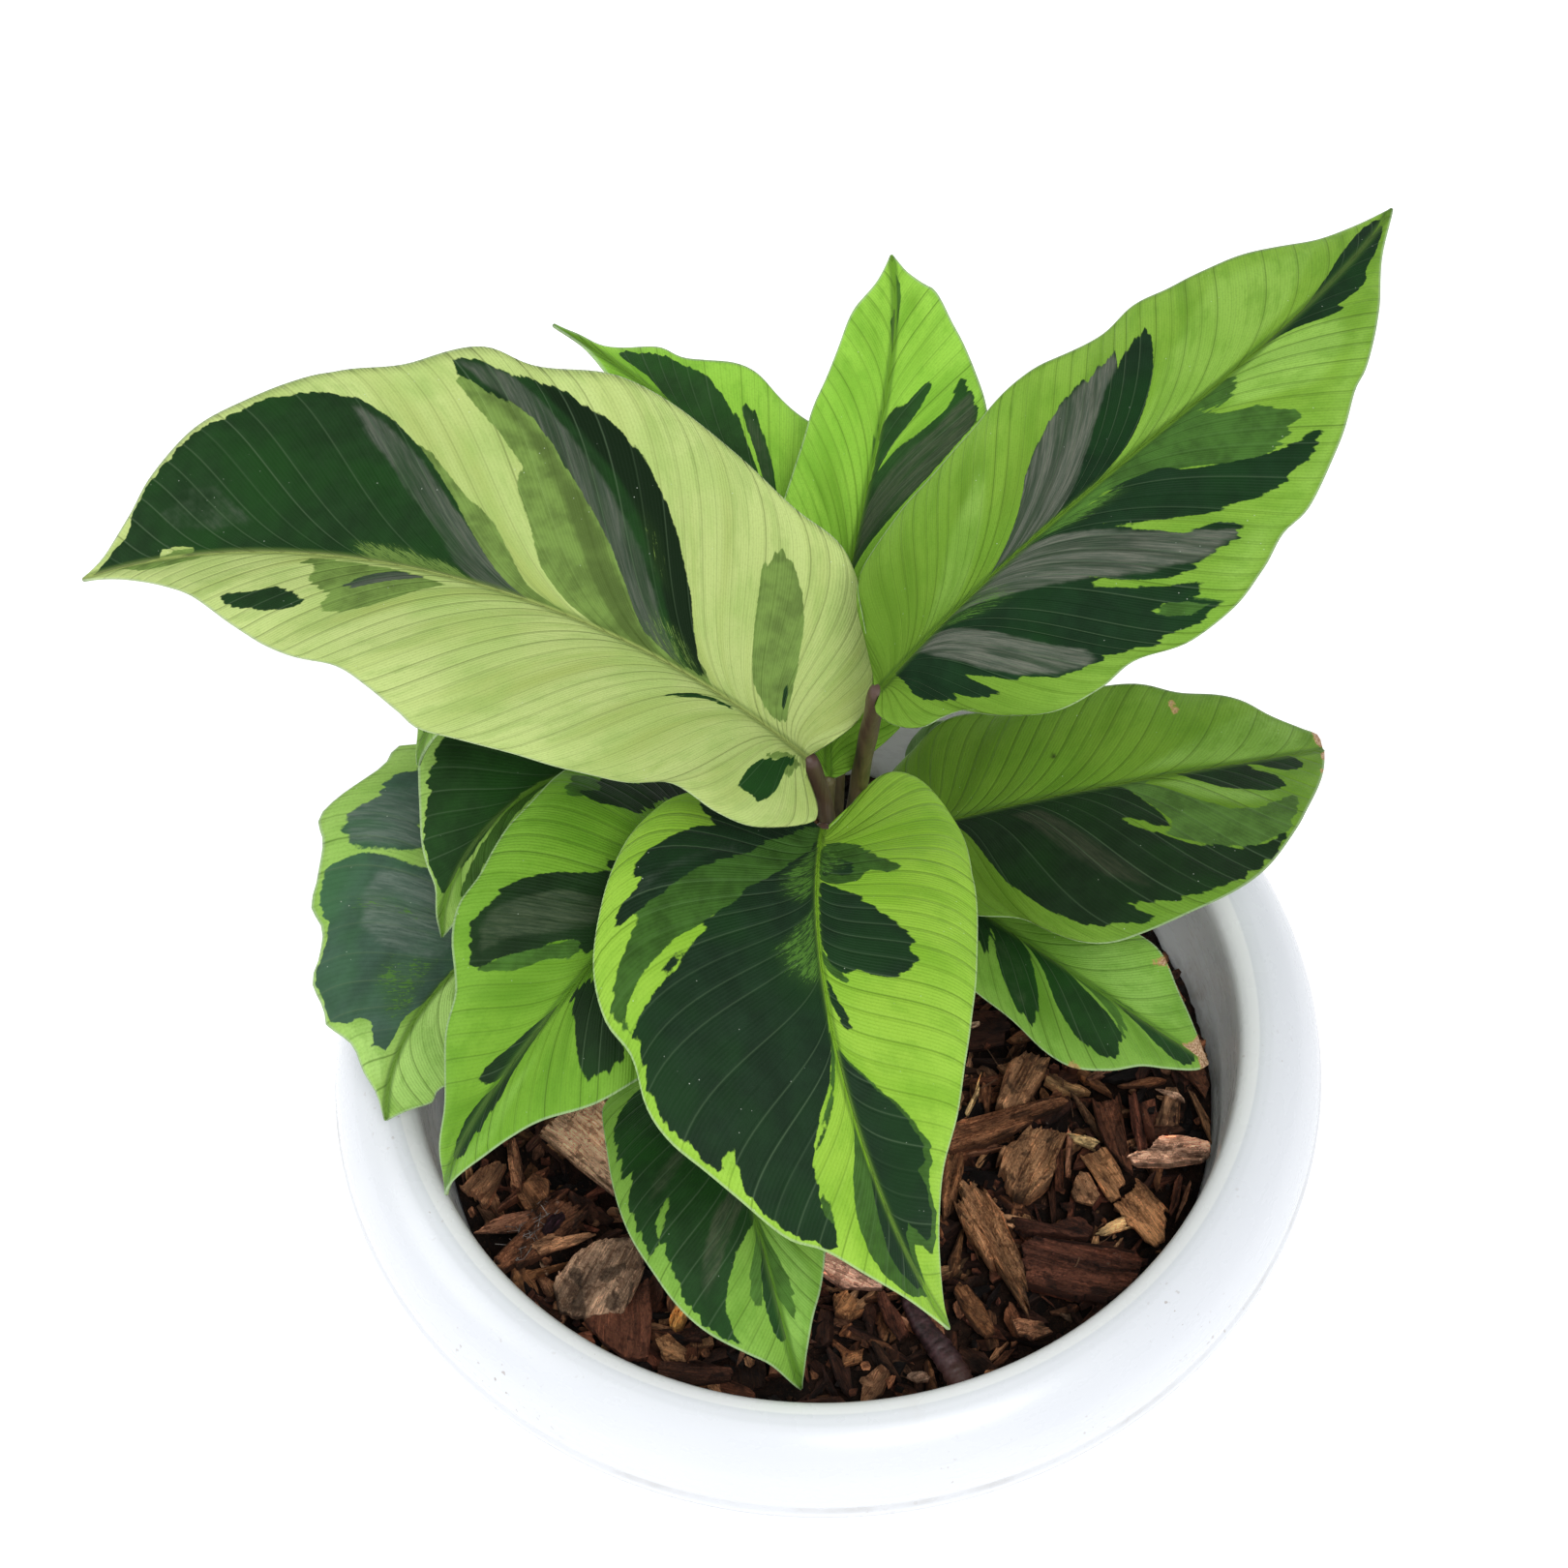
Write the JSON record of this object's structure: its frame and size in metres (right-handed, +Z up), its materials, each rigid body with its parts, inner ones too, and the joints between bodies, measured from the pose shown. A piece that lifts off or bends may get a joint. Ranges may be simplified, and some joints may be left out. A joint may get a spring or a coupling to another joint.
{
  "type": "potted prayer plant",
  "caption": "Small potted prayer plant with broad variegated leaves on slender stalks, growing in bark mulch in a shallow white bowl with a wide rolled rim.",
  "frame": {"origin": "centre of the bowl's round foot, on the surface it stands on", "axes": "+Z up, -Y towards the plant's front with the heart-shaped leaf, +X to its right"},
  "size_m": [0.2286, 0.1969, 0.2007],
  "materials": {
    "pot": "white moulded plastic with a soft gloss",
    "soil": "dark damp bark mulch, matt",
    "leaf": "lime green leaf variegated with dark green, satin",
    "stalk": "brown to olive leaf stalk, satin",
    "bark": "reddish brown bark, matt",
    "pale_bark": "weathered tan bark, matt",
    "husk": "dry seed husk, satin",
    "dead_stem": "dark purple dead stem, satin"
  },
  "bodies": {
    "root": {"pot": "pot", "soil": "soil", "crown": "stalk", "leaf_left_large": "leaf", "leaf_right_large": "leaf", "leaf_front_heart": "leaf", "leaf_right_low": "leaf", "leaf_right_small": "leaf", "leaf_front_left": "leaf", "leaf_left_inner": "leaf", "leaf_left_wavy": "leaf", "leaf_front_low": "leaf", "leaf_back_left": "leaf", "leaf_back": "leaf", "leaf_back_right_low": "leaf", "leaf_left_upper": "leaf", "stalk_left_large": "stalk", "stalk_right_large": "stalk", "stalk_front_heart": "stalk", "stalk_right_low": "stalk", "stalk_right_small": "stalk", "stalk_front_left": "stalk", "stalk_left_inner": "stalk", "stalk_left_wavy": "stalk", "stalk_front_low": "stalk", "stalk_back_left": "stalk", "stalk_back": "stalk", "stalk_back_right_low": "stalk", "stalk_left_upper": "stalk", "bark_left_tan": "pale_bark", "bark_left_small": "bark", "bark_left_shredded": "pale_bark", "bark_front_left_mottled": "pale_bark", "bark_front_strip": "pale_bark", "bark_front_bit": "pale_bark", "bark_front_oval": "bark", "bark_front_long": "bark", "bark_front_slab": "bark", "bark_right_strip": "bark", "bark_right_block": "bark", "bark_right_red": "bark", "bark_right_stick": "pale_bark", "bark_right_cracked_a": "pale_bark", "bark_right_cracked_b": "pale_bark", "bark_right_edge": "bark", "bark_back_bit": "pale_bark", "bark_back_right": "bark", "bark_back_centre": "bark", "bark_back_left": "pale_bark", "bark_far_left": "bark", "seed_husk": "husk", "dead_stem": "dead_stem"}
  },
  "joints": []
}
